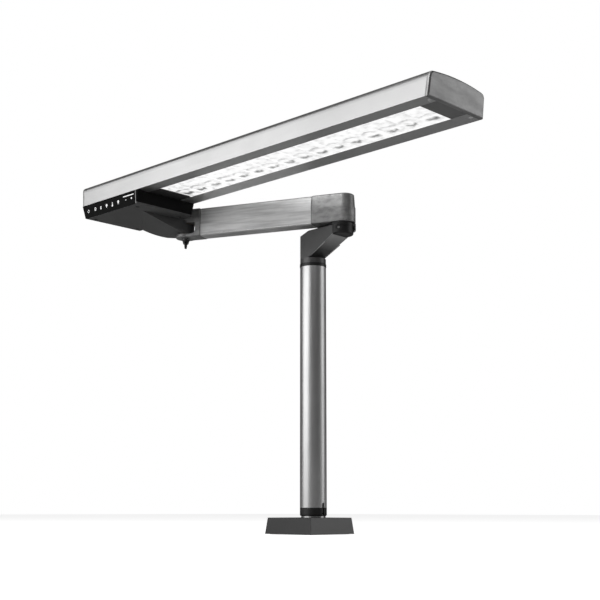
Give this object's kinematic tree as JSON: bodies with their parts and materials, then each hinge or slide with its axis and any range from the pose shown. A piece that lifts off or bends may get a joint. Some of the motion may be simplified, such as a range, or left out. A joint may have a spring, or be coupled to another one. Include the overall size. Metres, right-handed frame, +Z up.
{
  "type": "articulated workplace lamp",
  "caption": "Desk-mounted LED workplace lamp: round pole on a square foot, swivelling elbow and arm, and a long flat lamp head with a touch-controlled box under one end",
  "frame": {"origin": "centre of the M10 tapped hole's mouth, on the pole axis at the desk surface", "axes": "+Z up along the pole, +X along the lamp head away from its control box, -Y the side that the touch panel faces"},
  "size_m": [0.6143, 0.236, 0.4777],
  "materials": {
    "foot_paint": "satin charcoal powder coat",
    "zinc_steel": "zinc plated",
    "foot_rubber": "matt",
    "screw_steel": "blackened and zinc plated screws",
    "bright_screw": "nickel plated",
    "turned_steel": "turned",
    "black_plastic": "matt moulded nylon",
    "pole_silver": "satin silver anodised",
    "bracket_paint": "satin dark grey",
    "arm_silver": "fine silver grey powder coat",
    "arm_casting": "silver grey powder coat on casting",
    "bearing_bronze": "sintered",
    "head_silver": "satin silver anodised",
    "cap_grey": "grained grey casting",
    "filler_grey": "satin grey",
    "lens_clear": "clear moulded optic",
    "tray_white": "white reflector",
    "led_yellow": "phosphor",
    "box_paint": "satin dark grey",
    "cover_paint": "satin dark grey",
    "panel_gloss": "gloss black touch window",
    "trim_silver": "satin",
    "board_green": "solder mask",
    "coil_yellow": "wound and taped",
    "capacitor_sleeve": "sleeved can"
  },
  "bodies": {
    "stand": {"base_cover": "foot_paint", "base_plate": "zinc_steel", "base_pad": "foot_rubber", "base_screws": "screw_steel", "pole_spigot": "turned_steel", "foot_ring": "black_plastic", "pole_tube": "pole_silver", "pole_grub_screws": "screw_steel", "pole_top_bush": "black_plastic", "pole_lower_bush": "black_plastic"},
    "elbow": {"elbow_bracket": "bracket_paint", "elbow_spindle": "turned_steel", "elbow_circlip": "zinc_steel", "elbow_spring_washer": "zinc_steel", "elbow_lid": "bracket_paint", "pivot_cup": "black_plastic", "cup_screw": "screw_steel", "pivot_pin": "turned_steel", "pivot_thrust_washer": "zinc_steel", "pivot_nut": "screw_steel"},
    "arm": {"arm_rear_housing": "arm_casting", "arm_rear_cover": "arm_casting", "pivot_plug": "arm_casting", "arm_housing_screws": "screw_steel", "pivot_lower_bush": "bearing_bronze", "pivot_upper_bush": "bearing_bronze", "pivot_disc_spring": "zinc_steel", "arm_beam": "arm_silver", "arm_front_fork": "arm_casting", "fork_cap": "arm_casting", "head_pivot_bolt": "screw_steel"},
    "wing": {"wing_nut": "black_plastic", "wing_washer": "screw_steel"},
    "head": {"control_cover": "cover_paint", "control_housing": "box_paint", "control_screws": "screw_steel", "driver_board": "board_green", "driver_capacitors": "capacitor_sleeve", "driver_coil": "coil_yellow", "driver_standoffs": "black_plastic", "end_cap_left": "cap_grey", "end_cap_right": "cap_grey", "end_cap_screws": "bright_screw", "filler_left": "filler_grey", "filler_right": "filler_grey", "head_profile": "head_silver", "heat_spreader": "zinc_steel", "knuckle_bush": "bearing_bronze", "knuckle_washers": "bearing_bronze", "led_board": "tray_white", "led_chips": "led_yellow", "led_tray": "tray_white", "lens_domes": "lens_clear", "lens_plate": "lens_clear", "panel_trim": "trim_silver", "touch_board": "board_green", "touch_panel": "panel_gloss"}
  },
  "joints": [
    {"name": "elbow_swivel", "type": "hinge", "parent": "stand", "child": "elbow", "pos_m": [0, 0, 0.36], "axis": [0, 0, 1], "range_deg": [-170, 170]},
    {"name": "arm_swivel", "type": "hinge", "parent": "elbow", "child": "arm", "pos_m": [0.052, 0, 0.42], "axis": [0, 0, 1], "range_deg": [-7.6, 322.4]},
    {"name": "head_swivel", "type": "hinge", "parent": "arm", "child": "head", "pos_m": [-0.162, -0.08908, 0.417], "axis": [0, 0, 1], "range_deg": [-105, 15]},
    {"name": "wing_turn", "type": "hinge", "parent": "arm", "child": "wing", "pos_m": [-0.162, -0.08908, 0.4], "axis": [0, 0, 1], "range_deg": [-170, 170]}
  ]
}
